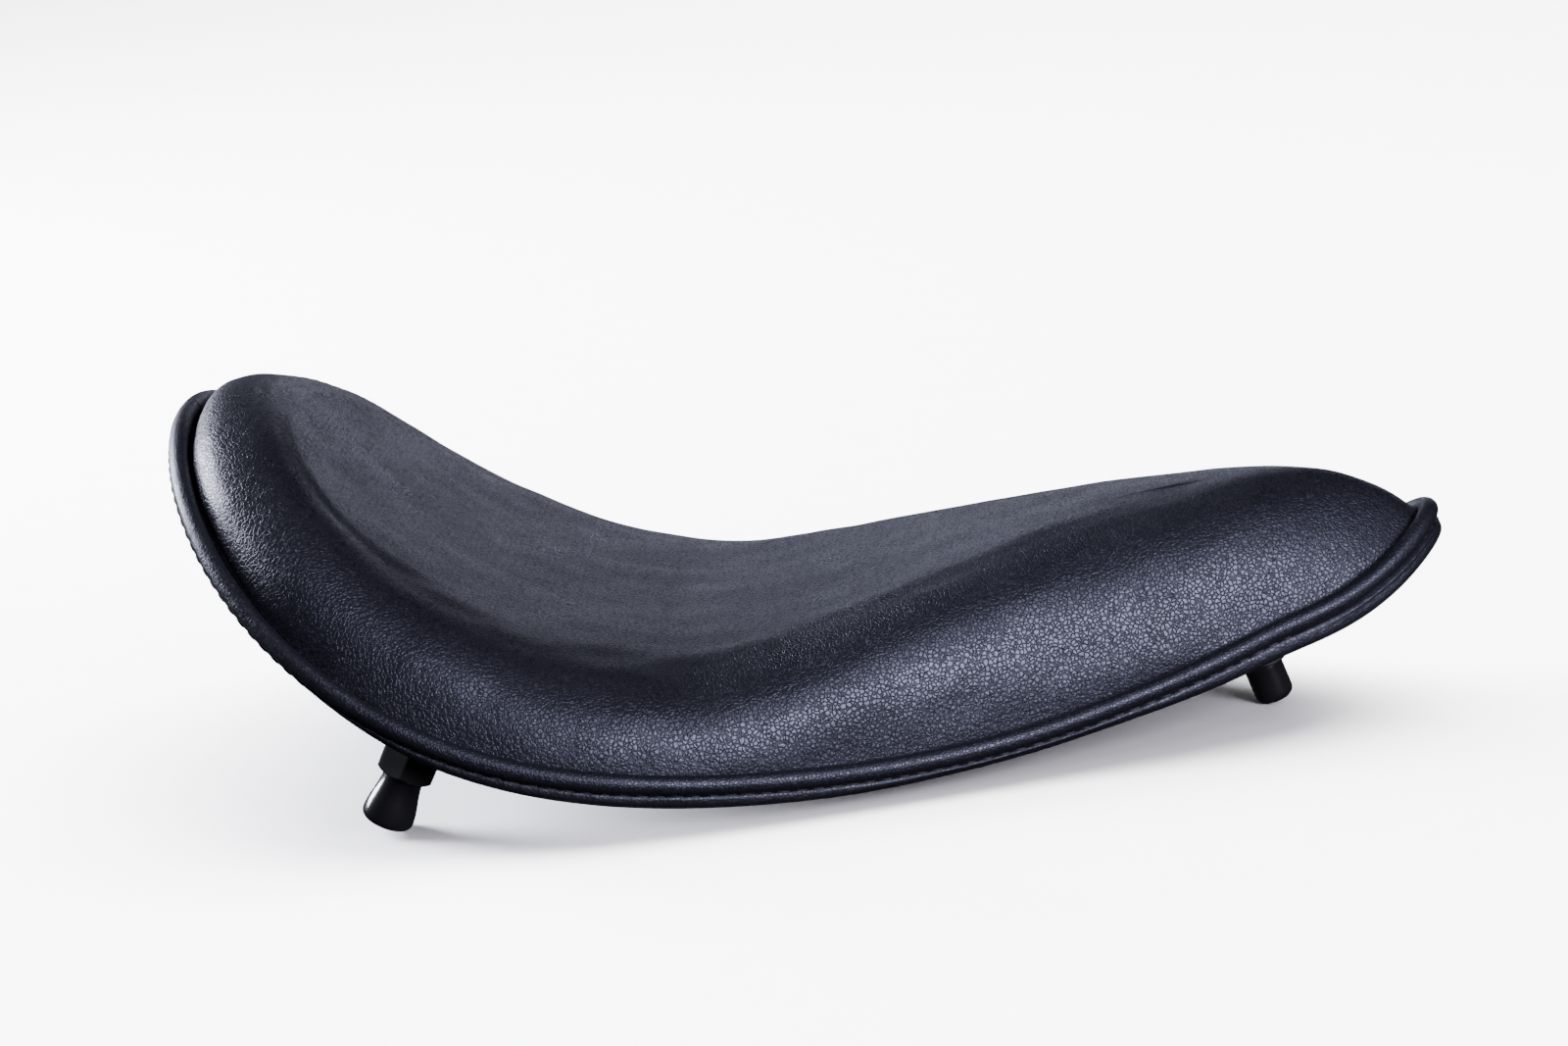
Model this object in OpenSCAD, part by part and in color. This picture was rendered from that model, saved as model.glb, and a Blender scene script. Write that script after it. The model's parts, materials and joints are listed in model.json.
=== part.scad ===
// Slim solo motorcycle seat: bent steel pan, layered cushion, leather cover with
// piping and a wrapped lower band, standing on three screw-in mounting posts.
// Units are millimetres. +X is the front of the seat, +Z is up, the XZ plane is
// the plane of symmetry. The origin is the centre of the footprint, on the level
// of the post tips.
//
// The pan is a plate bent along its length only, so the whole seat is laid out in
// plate coordinates: s runs along the bent centre line from rear to front, y runs
// across it, and n is the distance from the plate along its upward normal. The
// piping's centre line lies at n = 0 on the plan outline.

/* [Plan outline] */
// Position of the rear end along the bent centre line
rear_s = -226; // [-230:1:-218]
// Position of the widest point
wide_s = -95; // [-110:1:-80]
// Half width at the widest point
wide_y = 116; // [108:1:120]
// Position where the waist becomes the nose
nose_s = 112; // [104:1:118]
// Half width where the waist becomes the nose
nose_y = 57; // [50:1:62]
// Position of the front tip
tip_s = 207.5; // [200:0.5:212]

/* [Cushion] */
// Scale of the cushion thickness
crown_scale = 1.0; // [0.9:0.01:1.08]
// Thickness of the cover leather
leather_t = 1.5; // [1.2:0.1:1.8]
// Thickness of the wadding under the cover
wadding_t = 3.0; // [2:0.5:4]
// Thickness of the firm foam on the pan
base_foam_t = 11; // [8:1:14]

/* [Piping and lower band] */
// Outside diameter of the piping
piping_d = 6.0; // [5.6:0.1:6.2]
// Diameter of the cord inside the piping
welt_cord_d = 3.8; // [3:0.1:4.2]
// Gap between the butted ends of the piping at the rear
welt_gap = 0.8; // [0.4:0.1:1.5]
// Pitch of the stitches under the piping
stitch_pitch = 5.3; // [4.5:0.1:6.5]
// Number of rivets that hold the lower band under the pan
rivet_count = 22; // [16:1:28]

/* [Mounting posts] */
// Position of the rear posts along the bent centre line
rear_post_s = -111; // [-118:1:-106]
// Distance of each rear post from the centre plane
rear_post_y = 90; // [84:1:92]
// Position of the front post along the bent centre line
front_post_s = 140.5; // [130:0.5:145]
// Distance from the plate to the lower face of the hexagon standoffs
hex_end = 20; // [18:0.1:21]
// Distance from the plate to the tip of the rear posts
rear_tip = 36.4; // [35:0.1:38]
// Distance from the plate to the tip of the front post
front_tip = 32.55; // [31:0.05:34]
// Size across the flats of the standoffs
hex_af = 17; // [15:1:19]
// Diameter of the posts under the standoffs
post_d = 12.4; // [11:0.1:13]
// Diameter of the rear posts at the foot
foot_d = 16; // [13:0.5:17]
// Diameter of the stud that screws into the standoff
stud_d = 8; // [8:1:8]
// Diameter of the tapped hole's wall in the foot of each post
tap_d = 6.8; // [6.4:0.1:7]
// Depth of the tapped hole
tap_depth = 10; // [8:1:10]

/* [Hidden] */

// Place of the plate's zero point in the part's frame
ox = -4.94;
oz = 12.45;

// Stations every 40 mm from s = -230: slope of the plate in degrees
BEND = [-64.5, -51, -37.5, -25.5, -13.5, -6.5, -2.5, 4, 12.5, 18, 24.5, 32.5];
// Cushion thickness at the same stations
CROWN = [25.5, 31, 31.5, 30, 27.7, 28.4, 37, 45, 47.5, 44.5, 35.8, 17.6];
// Width of the rounded shoulder at the same stations
SHOULDER = [8.5, 16, 27, 33, 35, 35, 32, 29, 28, 28, 28, 27];
// Depth of the lower band below the plate at the same stations
BAND = [3.7, 3.7, 4.2, 6.6, 7.5, 7.7, 7.4, 6.3, 6.4, 8, 9.2, 8.5];
// Fullness of the shoulder curve
full = 2.45;
// How far the cushion's rear wall swells out over the piping
bulge = 6;
// How far the plate's edges are bent down at the nose, 20 mm from the centre line
nose_drop = 2.14;

welt_r = piping_d / 2;
pan_top = -0.8;
pan_bot = -2.4;
hem_d = 11;
core_d = 19;
plate_top = -2.5;
plate_t = 3;
washer_t = 1.5;
hex_top = plate_top - plate_t - washer_t - 0.2;
steel = [0.13, 0.13, 0.14];
zinc = [0.55, 0.55, 0.56];
leather = [0.045, 0.048, 0.06];

function lerp(a, b, t) = a + (b - a) * t;

// Smooth curve through the values of a table, one station per unit of u
function through(T, u) =
    let (m = len(T), k = max(0, min(m - 2, floor(u))), f = u - k,
         b = T[k], c = T[k + 1],
         a = k > 0 ? T[k - 1] : 2 * b - c,
         d = k < m - 2 ? T[k + 2] : 2 * c - b)
    0.5 * (2 * b + (c - a) * f + (2 * a - 5 * b + 4 * c - d) * f * f
        + (3 * b - a - 3 * c + d) * f * f * f);
function at(T, s) = through(T, (s + 230) / 40);
function bend(s) = at(BEND, s);

// Bent centre line, added up in steps of 2 mm from s = -240
RUN = [for (i = 0, x = 0, z = 0; i <= 236;
    i = i + 1, x = x + 2 * cos(bend(-241 + 2 * i)), z = z + 2 * sin(bend(-241 + 2 * i)))
    [x, z]];
function centre(s) =
    let (u = (s + 240) / 2, k = floor(u)) lerp(RUN[k], RUN[k + 1], u - k) - RUN[120];

function soft(t) = let (k = max(0, min(1, t))) k * k * (3 - 2 * k);
function drop(s) = nose_drop * soft((s - 145) / 60) / 400;

// A point of the seat from its plate coordinates
function pt(s, y, n) =
    let (a = bend(s), c = centre(s), m = n - drop(s) * y * y)
    [c[0] - m * sin(a) + ox, y, c[1] + m * cos(a) + oz];

// Plan outline of the piping's centre line, as [s, half width] from rear to front
function bez(P, t) = let (q = 1 - t)
    q * q * q * P[0] + 3 * q * q * t * P[1] + 3 * q * t * t * P[2] + t * t * t * P[3];
REAR = [[rear_s, 0], [rear_s, 0.62 * wide_y],
    [wide_s - 0.55 * (wide_s - rear_s), wide_y], [wide_s, wide_y]];
waist = 0.313;
SIDE = [[wide_s, wide_y], [wide_s + 0.37 * (nose_s - wide_s), wide_y],
    [nose_s - 0.37 * (nose_s - wide_s), nose_y + 0.37 * waist * (nose_s - wide_s)],
    [nose_s, nose_y]];
NOSE = [[nose_s, nose_y], [nose_s + 0.414 * (tip_s - nose_s), nose_y - 0.414 * waist * (tip_s - nose_s)],
    [tip_s, 0.382 * nose_y], [tip_s, 0]];
nr = 12;
ns = 11;
nn = 9;
M = nr + ns + nn;
function edge(u) = u <= nr ? bez(REAR, u / nr)
    : u <= nr + ns ? bez(SIDE, (u - nr) / ns) : bez(NOSE, (u - nr - ns) / nn);
EDGE = [for (i = [0:M]) edge(i)];
function unit(v) = v / norm(v);
// Inward normal of the outline, in plate coordinates
INWARD = [for (i = [0:M])
    i == 0 ? [1, 0] : i == M ? [-1, 0]
    : let (t = unit(edge(i + 0.02) - edge(i - 0.02))) [t[1], -t[0]]];
// Point on the centre line where the inward path of each outline point ends
AIM = [for (i = [0:M]) [-115 + (EDGE[i][0] - rear_s) / (tip_s - rear_s) * 265, 0]];
REACH = [for (i = [0:M]) norm(AIM[i] - EDGE[i])];
// Point at a distance d along the inward path of outline point i
function path(i, d) =
    let (t = d / REACH[i], q = 1 - t)
    q * q * q * EDGE[i] + 3 * q * q * t * (EDGE[i] + INWARD[i] * REACH[i] / 3)
        + q * t * t * (EDGE[i] + 2 * AIM[i]) + t * t * t * AIM[i];
// The full outline runs down one side and back up the other
function half(i) = i <= M ? i : 2 * M - i;
function side(i) = i <= M ? -1 : 1;
function spot(i, d, n) = let (p = path(half(i), d)) pt(p[0], side(i) * p[1], n);

// Height of a cushion layer: ins is the inset of its edge, off its depth under the cover
function fall(i, ins) = min(at(SHOULDER, EDGE[i][0]), 0.9 * (REACH[i] - ins));
function rise(i, d, ins, off, nb) =
    let (t = min(1, max(0, (d - ins) / fall(i, ins))), g = sqrt(max(0, 1 - pow(1 - t, full))),
         h = at(CROWN, path(i, d)[0]) * crown_scale - off)
    nb + (h - nb) * g * (1 - 0.03 * pow(1 - d / REACH[i], 2));
// How far the rear wall swells outwards at the same place
function swell(i, d, ins, off, nb) =
    let (t = min(1, max(0, (d - ins) / fall(i, ins))),  
         h = at(CROWN, path(i, d)[0]) * crown_scale,
         w = min(1, max(0, (rise(i, d, ins, off, nb) - 0.6 * off - 3.3) / (h - 3.3))))
    bulge * max(0, min(1, (-130 - EDGE[i][0]) / 70)) * sin(180 * pow(w, 0.8)) * (1 - t);
STEPS = [0, 0.015, 0.06, 0.14, 0.26, 0.42, 0.64, 1];
function depth(i, ins, j) = j < len(STEPS) ? ins + STEPS[j] * fall(i, ins)
    : lerp(ins + fall(i, ins), REACH[i], 0.5);
function layer_ring(j, ins, off, nb) = [for (i = [0:2 * M - 1])
    let (h = half(i), d = depth(h, ins, j)) spot(i, d - swell(h, d, ins, off, nb), rise(h, d, ins, off, nb))];
function layer(ins, off, nb) = [for (j = [0:len(STEPS)]) layer_ring(j, ins, off, nb)];
function layer_spine(ins, off, nb) = [for (i = [0:M]) spot(i, REACH[i], rise(i, REACH[i], ins, off, nb))];
function flat_ring(d, n) = [for (i = [0:2 * M - 1]) spot(i, d, n)];
// The rings that every flat surface shares from 34 mm inwards, nearest the middle first
function flat_core(n) = [for (f = [2 / 3, 1 / 3, 0])
    [for (i = [0:2 * M - 1]) spot(i, lerp(34, REACH[half(i)], f), n)]];
function flat_spine(n) = [for (i = [0:M]) spot(i, REACH[i], n)];
function back(L) = [for (k = [len(L) - 1:-1:0]) L[k]];

// Closed solid from a top spine, rings from the middle outwards and back, and a lower spine;
// from ring under on, the diagonals run the other way, so that stacked surfaces stay parallel
module shell(top, rings, low, under) {
    W = 2 * M;
    R = len(rings);
    o = M + 1;
    last = o + R * W;
    polyhedron(points = concat(top, [for (r = rings) each r], low),
        faces = concat(
            [for (i = [0:W - 1]) let (a = half(i), b = half((i + 1) % W), c = o + i, d = o + (i + 1) % W)
                each [[a, b, d], [a, d, c]]],
            [for (j = [0:R - 2], i = [0:W - 1])
                let (a = o + j * W + i, b = o + j * W + (i + 1) % W, c = a + W, d = b + W)
                each j < under ? [[a, b, d], [a, d, c]] : [[a, b, c], [b, d, c]]],
            [for (i = [0:W - 1]) let (c = o + (R - 1) * W + i, d = o + (R - 1) * W + (i + 1) % W,
                a = last + half(i), b = last + half((i + 1) % W))
                each [[c, d, a], [d, b, a]]]));
}

// Closed loop of one cross-section carried round the outline
module band(rings) {
    W = 2 * M;
    R = len(rings);
    polyhedron(points = [for (r = rings) each r],
        faces = [for (j = [0:R - 1], i = [0:W - 1])
            let (a = j * W + i, b = j * W + (i + 1) % W, c = ((j + 1) % R) * W + i, d = ((j + 1) % R) * W + (i + 1) % W)
            each [[a, b, d], [a, d, c]]]);
}

// Places a shape on the plate, with its +Z along the plate's upward normal
module on_plate(s, y) {
    translate(pt(s, y, 0)) rotate([0, -bend(s), 0]) children();
}

// Depth of the band and how far its flange is turned down, at outline point i
function hb(i) = at(BAND, EDGE[half(i)][0]);
function turn(i) = min(1, max(0, (hb(i) - 3.7) / 3.5));

module seat_pan() {
    e1 = [for (i = [0:2 * M - 1]) spot(i, 3.4, pan_top)];
    e2 = [for (i = [0:2 * M - 1]) spot(i, 3.15, -1.5)];
    e3 = [for (i = [0:2 * M - 1]) let (k = turn(i)) spot(i, lerp(3.18, 1.7, k), lerp(-1.95, -3.4, k))];
    e4 = [for (i = [0:2 * M - 1]) let (k = turn(i)) spot(i, lerp(3.3, 1.6, k), lerp(-2.3, 1.3 - hb(i), k))];
    e5 = [for (i = [0:2 * M - 1]) let (k = turn(i)) spot(i, lerp(3.7, 3.1, k), lerp(pan_bot, 1.3 - hb(i), k))];
    e6 = [for (i = [0:2 * M - 1]) let (k = turn(i)) spot(i, lerp(4.6, 3.2, k), lerp(pan_bot, -2.9, k))];
    color(steel) difference() {
        shell(flat_spine(pan_top),
            concat(flat_core(pan_top), [for (d = [core_d, 9]) flat_ring(d, pan_top)], [e1, e2, e3, e4, e5, e6],
                [for (d = [hem_d, core_d]) flat_ring(d, pan_bot)], back(flat_core(pan_bot))),
            flat_spine(pan_bot), 8);
        for (y = [-rear_post_y, rear_post_y])
            on_plate(rear_post_s, y) cylinder(r = 5.4, h = 12, center = true, $fn = 40);
        on_plate(front_post_s, 0) rotate(20) cylinder(r = 5.4, h = 12, center = true, $fn = 40);
    }
}

module mount_plate() {
    translate([0, 0, plate_top - plate_t]) difference() {
        linear_extrude(plate_t) union() {
            square([32, 16], center = true);
            square([26, 22], center = true);
            for (x = [-13, 13], y = [-8, 8]) translate([x, y]) circle(r = 3, $fn = 32);
        }
        translate([0, 0, -1]) cylinder(r = 5.3, h = plate_t + 2, $fn = 40);
        for (x = [-12.5, 12.5])
            translate([x, 0, -1]) cylinder(r = 1.65, h = plate_t + 2, $fn = 24);
    }
}
module rear_mount_plates() {
    color(steel) for (y = [-rear_post_y, rear_post_y]) on_plate(rear_post_s, y) mount_plate();
}
module front_mount_plate() {
    color(steel) on_plate(front_post_s, 0) mount_plate();
}

module rivet(low, top, head_r, head_h) {
    rotate_extrude($fn = 24) polygon([[0, low - head_h], [head_r * 0.55, low - head_h * 0.85],
        [head_r * 0.85, low - head_h * 0.5], [head_r, low], [1.6, low], [1.6, top], [0, top]]);
}
module plate_rivets() {
    color(zinc) {
        for (y = [-rear_post_y, rear_post_y], x = [-12.5, 12.5])
            on_plate(rear_post_s, y) translate([x, 0, 0]) rivet(plate_top - plate_t, -0.7, 2.8, 1.1);
        for (x = [-12.5, 12.5])
            on_plate(front_post_s, 0) translate([x, 0, 0]) rivet(plate_top - plate_t, -0.7, 2.8, 1.1);
    }
}

module weld_nut() {
    difference() {
        union() {
            translate([0, 0, -0.4]) cylinder(r = 9.6, h = 1.5, $fn = 48);
            translate([0, 0, 1]) cylinder(r = 15 / sqrt(3), h = 6, $fn = 6);
        }
        translate([0, 0, -2]) cylinder(r = 5.05, h = 12, $fn = 40);
    }
}
module rear_weld_nuts() {
    color(zinc) for (y = [-rear_post_y, rear_post_y]) on_plate(rear_post_s, y) weld_nut();
}
module front_weld_nut() {
    color(zinc) on_plate(front_post_s, 0) weld_nut();
}

module washer() {
    translate([0, 0, plate_top - plate_t - 0.1 - washer_t]) difference() {
        cylinder(r = 10, h = washer_t, $fn = 48);
        translate([0, 0, -1]) cylinder(r = 5.3, h = washer_t + 2, $fn = 40);
    }
}
module rear_washers() {
    color(zinc) for (y = [-rear_post_y, rear_post_y]) on_plate(rear_post_s, y) washer();
}
module front_washer() {
    color(zinc) on_plate(front_post_s, 0) washer();
}

// Hexagon standoff: stud up through the pan, blind threaded hole in its lower face
module standoff() {
    hr = hex_af / sqrt(3);
    difference() {
        union() {
            translate([0, 0, -hex_end]) intersection() {
                cylinder(r = hr, h = hex_end + hex_top, $fn = 6);
                union() {
                    translate([0, 0, 1.6]) cylinder(r = hr + 1, h = hex_end + hex_top, $fn = 64);
                    cylinder(r1 = hex_af / 2 - 0.2, r2 = hr + 0.6, h = 1.6, $fn = 64);
                }
            }
            translate([0, 0, hex_top - 0.1]) cylinder(r = 5, h = 7.1 - hex_top, $fn = 40);
        }
        translate([0, 0, -hex_end - 1]) cylinder(r = stud_d / 2 + 0.05, h = 11.2, $fn = 40);
    }
}
module rear_standoffs() {
    color([0.09, 0.09, 0.1]) for (y = [-rear_post_y, rear_post_y]) on_plate(rear_post_s, y) rotate(30) standoff();
}
module front_standoff() {
    color([0.09, 0.09, 0.1]) on_plate(front_post_s, 0) rotate(30) standoff();
}

// Turned post: r0 at the shoulder, r1 at the foot, tip at distance tip from the plate
module post(r0, r1, tip) {
    a = hex_end + 0.1;
    k = 2.6;
    difference() {
        union() {
            rotate_extrude($fn = 64) polygon(concat(
                [[0, -a], [r0 - 0.4, -a], [r0, -a - 0.4]],
                [for (t = [0:0.125:1]) [lerp(r0, r1, t * t * (3 - 2 * t)), lerp(-a - 1.5, -tip + k, t)]],
                [for (t = [15:15:90]) [r1 - k + k * cos(t), -tip + k - k * sin(t)]],
                [[0, -tip]]));
            translate([0, 0, -a - 0.5]) cylinder(r = stud_d / 2, h = 9.8, $fn = 40);
        }
        translate([0, 0, -tip - 1]) cylinder(r = tap_d / 2, h = tap_depth + 1, $fn = 40);
    }
}
module rear_left_post() {
    color([0.02, 0.02, 0.022]) on_plate(rear_post_s, rear_post_y) post(post_d / 2, foot_d / 2, rear_tip);
}
module rear_right_post() {
    color([0.02, 0.02, 0.022]) on_plate(rear_post_s, -rear_post_y) post(post_d / 2, foot_d / 2, rear_tip);
}
module front_post() {
    color([0.02, 0.02, 0.022]) on_plate(front_post_s, 0) post(post_d / 2, post_d / 2, front_tip);
}

// Clearance in the foam over each weld nut
module nut_pockets() {
    for (y = [-rear_post_y, rear_post_y])
        on_plate(rear_post_s, y) translate([0, 0, -4]) cylinder(r = 11, h = 12.6, $fn = 40);
    on_plate(front_post_s, 0) rotate(20) translate([0, 0, -4]) cylinder(r = 11, h = 12.6, $fn = 40);
}
module base_foam() {
    color([0.25, 0.27, 0.3]) difference() {
        shell(flat_spine(base_foam_t - 0.6),
            concat(flat_core(base_foam_t - 0.6), [flat_ring(core_d + 0.3, base_foam_t - 0.6),
                flat_ring(core_d + 0.3, -0.5)], back(flat_core(-0.5))),
            flat_spine(-0.5), 4);
        nut_pockets();
    }
}
module cushion_foam() {
    ins = welt_r + leather_t + wadding_t + 0.9;
    off = leather_t + wadding_t + 0.9;
    color([0.75, 0.7, 0.45]) difference() {
        shell(layer_spine(ins, off, -0.45),
            concat(back(layer(ins, off, -0.45)),
                [flat_ring(ins + 0.6, -0.5), flat_ring(core_d, -0.5), flat_ring(core_d, base_foam_t - 0.3)],
                back(flat_core(base_foam_t - 0.3))),
            flat_spine(base_foam_t - 0.3), len(STEPS) + 1);
        nut_pockets();
    }
}
// Layer of even thickness that follows the cushion down to its edge
module skin(ins, t, low, off) {
    shell(layer_spine(ins, off, low),
        concat(back(layer(ins, off, low)), layer(ins + t, off + t, low)),
        layer_spine(ins + t, off + t, low), len(STEPS) + 1);
}
module wadding() {
    color([0.85, 0.85, 0.83]) skin(welt_r + leather_t + 0.3, wadding_t, -0.5, leather_t + 0.3);
}
module top_cover() {
    color(leather) skin(welt_r + 0.05, leather_t, 1, 0);
}

// Lower band of leather: from under the piping round the pan's turned edge to a hem under the pan
module skirt_cover() {
    color(leather) band([for (j = [0:15]) [for (i = [0:2 * M - 1])
        let (h = hb(i), k = turn(i), q = [
            [1.4, -3.15], [-0.45, lerp(-3.25, -4.1, k)], [-0.35, lerp(-3.4, -0.8 * h, k)],
            [0.9, 0.1 - h], [2.3, -h], [lerp(4.2, 3.9, k), -h + 0.1 * k],
            [lerp(5, 4.55, k), lerp(-3.7, 1 - h, k)], [lerp(5.8, 4.8, k), -3.7 - 0.9 * k],
            [6.6, -3.75], [hem_d, -3.8], [hem_d, -2.6], [lerp(4.8, 4.6, k), -2.6 - 0.05 * k],
            [3.65, -2.6 - 0.55 * k], [3.35, 1.2 - h], [lerp(1.9, 1.35, k), 1.2 - h],
            [lerp(1.8, 1.4, k), lerp(-2.75, -3.6, k)]][j])
        spot(i, q[0], q[1])]]);
}

// Tube along the piping's centre line, open at the rear joint
WELT = [for (i = [0:2 * M]) i == 0 ? pt(rear_s, -welt_gap / 2, 0) : i == 2 * M ? pt(rear_s, welt_gap / 2, 0) : spot(i, 0, 0)];
function welt_frame(i) =
    let (h = half(i), m = INWARD[h], s = EDGE[h][0], a = bend(s))
    i == 0 || i == 2 * M ? [[cos(a), 0, sin(a)], [-sin(a), 0, cos(a)]]
    : [[m[0] * cos(a), side(i) * m[1], m[0] * sin(a)], [-sin(a), 0, cos(a)]];
function welt_ring(r, i, sides) = let (f = welt_frame(i))
    [for (k = [0:sides - 1]) WELT[i] + r * (cos(k * 360 / sides) * f[0] + sin(k * 360 / sides) * f[1])];
module rod(r, sides) {
    W = 2 * M;
    polyhedron(points = [for (i = [0:W]) each welt_ring(r, i, sides)],
        faces = concat([[for (k = [0:sides - 1]) k]],
            [for (i = [0:W - 1], k = [0:sides - 1])
                let (a = i * sides + k, b = i * sides + (k + 1) % sides, c = a + sides, d = b + sides)
                each [[a, c, d], [a, d, b]]],
            [[for (k = [sides - 1:-1:0]) W * sides + k]]));
}
module tube(ro, ri, sides) {
    W = 2 * M;
    n = (W + 1) * sides;
    polyhedron(points = concat([for (i = [0:W]) each welt_ring(ro, i, sides)], [for (i = [0:W]) each welt_ring(ri, i, sides)]),
        faces = concat(
            [for (i = [0:W - 1], k = [0:sides - 1])
                let (a = i * sides + k, b = i * sides + (k + 1) % sides, c = a + sides, d = b + sides)
                each [[a, c, d], [a, d, b], [n + a, n + d, n + c], [n + a, n + b, n + d]]],
            [for (k = [0:sides - 1]) let (l = (k + 1) % sides) each [[k, l, n + l], [k, n + l, n + k]]],
            [for (k = [0:sides - 1]) let (l = (k + 1) % sides, o = W * sides)
                each [[o + k, n + o + l, o + l], [o + k, n + o + k, n + o + l]]]));
}
module welt_sleeve() {
    color([0.055, 0.058, 0.07]) tube(welt_r, welt_cord_d / 2 + 0.1, 10);
}
module welt_cord() {
    color([0.8, 0.8, 0.76]) rod(welt_cord_d / 2, 8);
}

// Lengths along the outline, for things that are spaced evenly round it
function way(u, d, n, sd) = let (i = floor(min(u, M - 0.001)), f = u - i) lerp(
    let (p = path(i, d)) pt(p[0], sd * p[1], n), let (p = path(i + 1, d)) pt(p[0], sd * p[1], n), f);
LAPS = [for (i = 0, l = 0; i <= M; l = l + (i < M ? norm(way(i + 1, 0, 0, 1) - way(i, 0, 0, 1)) : 0), i = i + 1) l];
function find(l, i = 0) = i >= M - 1 || LAPS[i + 1] > l ? i : find(l, i + 1);
function along(l) = let (i = find(l)) i + (l - LAPS[i]) / (LAPS[i + 1] - LAPS[i]);

module welt_stitching() {
    n = floor(LAPS[M] / stitch_pitch);
    color([0.03, 0.03, 0.035]) for (sd = [-1, 1], k = [0:n - 1]) {
        u = along((k + 0.5) * LAPS[M] / n);
        a = way(max(0, u - 0.05), 0.35, -3.45, sd);
        b = way(min(M, u + 0.05), 0.35, -3.45, sd);
        d = unit(b - a);
        translate(way(u, 0.35, -3.45, sd))
            rotate([0, -asin(d[2]), atan2(d[1], d[0])])
                cube([3.5, 0.7, 0.6], center = true);
    }
}

module cover_rivets() {
    n = rivet_count / 2;
    color(zinc) for (sd = [-1, 1], k = [0:n - 1]) {
        u = along((k + 0.5) * LAPS[M] / n);
        i = floor(u);
        p = lerp(path(i, 8.2), path(i + 1, 8.2), u - i);
        on_plate(p[0], sd * p[1]) rotate([-sd * atan(2 * drop(p[0]) * p[1]), 0, 0]) rivet(-3.85, -0.75, 3, 1);
    }
}

seat_pan();
rear_mount_plates();
front_mount_plate();
plate_rivets();
rear_weld_nuts();
front_weld_nut();
rear_washers();
front_washer();
rear_standoffs();
front_standoff();
rear_left_post();
rear_right_post();
front_post();
base_foam();
cushion_foam();
wadding();
top_cover();
skirt_cover();
welt_sleeve();
welt_cord();
welt_stitching();
cover_rivets();
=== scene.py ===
import json
import math
import bpy
import numpy as np
from mathutils import Matrix, Vector


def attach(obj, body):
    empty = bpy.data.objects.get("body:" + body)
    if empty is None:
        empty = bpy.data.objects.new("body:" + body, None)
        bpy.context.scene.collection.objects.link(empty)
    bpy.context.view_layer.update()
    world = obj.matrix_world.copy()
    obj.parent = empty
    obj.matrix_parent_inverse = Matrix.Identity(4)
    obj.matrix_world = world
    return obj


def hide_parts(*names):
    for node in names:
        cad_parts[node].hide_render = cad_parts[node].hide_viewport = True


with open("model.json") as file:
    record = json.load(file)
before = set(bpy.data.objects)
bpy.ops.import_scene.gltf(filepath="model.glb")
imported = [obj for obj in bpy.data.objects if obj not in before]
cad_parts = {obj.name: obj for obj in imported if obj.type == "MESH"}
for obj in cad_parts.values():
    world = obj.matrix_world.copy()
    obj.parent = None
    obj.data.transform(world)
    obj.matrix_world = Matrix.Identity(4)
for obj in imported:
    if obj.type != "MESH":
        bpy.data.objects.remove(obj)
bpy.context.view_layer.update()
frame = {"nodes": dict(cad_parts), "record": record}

MM = 0.001
rng = np.random.RandomState(11)

# ---------------------------------------------------------------- plate maths, as in the CAD
BEND = [-64.5, -51, -37.5, -25.5, -13.5, -6.5, -2.5, 4, 12.5, 18, 24.5, 32.5]
CROWN = [25.5, 31, 31.5, 30, 27.7, 28.4, 37, 45, 47.5, 44.5, 35.8, 17.6]
SHOULDER = [8.5, 16, 27, 33, 35, 35, 32, 29, 28, 28, 28, 27]
BAND = [3.7, 3.7, 4.2, 6.6, 7.5, 7.7, 7.4, 6.3, 6.4, 8, 9.2, 8.5]
SOFTER = 1.6      # the leather turns into the top more gradually than the CAD cover, over a wider strip
FULL = 2.45 * SOFTER
SHOULDER = [v * SOFTER for v in SHOULDER]
CROWN = [v * 1.035 for v in CROWN]
BULGE = 6.0
DROOP = 2.14
OX, OZ = -4.94, 12.45
REAR_S, WIDE_S, WIDE_Y, NOSE_S, NOSE_Y, TIP_S = -226.0, -95.0, 116.0, 112.0, 57.0, 207.5
WELT_R = 3.0
PITCH = 5.3


def through(T, u):
    T = np.asarray(T, float)
    u = np.asarray(u, float)
    m = len(T)
    k = np.clip(np.floor(u).astype(int), 0, m - 2)
    f = u - k
    if T.ndim > 1:
        f = f[..., None]
    b, c = T[k], T[k + 1]
    kk = k[..., None] if T.ndim > 1 else k
    a = np.where(kk > 0, T[np.maximum(k - 1, 0)], 2 * b - c)
    d = np.where(kk < m - 2, T[np.minimum(k + 2, m - 1)], 2 * c - b)
    return 0.5 * (2 * b + (c - a) * f + (2 * a - 5 * b + 4 * c - d) * f * f + (3 * b - a - 3 * c + d) * f ** 3)


def at(T, s):
    return through(T, (np.asarray(s, float) + 230) / 40)


def bend(s):
    return np.radians(at(BEND, s))


_run = [np.zeros(2)]
for _i in range(1, 237):
    _a = float(bend(-241 + 2 * _i))
    _run.append(_run[-1] + 2 * np.array([math.cos(_a), math.sin(_a)]))
_run = np.array(_run)
_run -= _run[120]


def smooth(t):
    t = np.clip(t, 0, 1)
    return t * t * (3 - 2 * t)


def droop(s, y):
    """How far the edges of the nose are bent down."""
    return DROOP * smooth((s - 145) / 60) * (y / 20) ** 2


def pt(s, y, n):
    """Row-frame point in metres from plate coordinates in mm."""
    s, y, n = np.broadcast_arrays(np.asarray(s, float), np.asarray(y, float), np.asarray(n, float))
    n = n - droop(s, y)
    a = bend(s)
    c = through(_run, (s + 240) / 2)
    return np.stack([c[..., 0] - n * np.sin(a) + OX, y, c[..., 1] + n * np.cos(a) + OZ], -1) * MM


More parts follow.
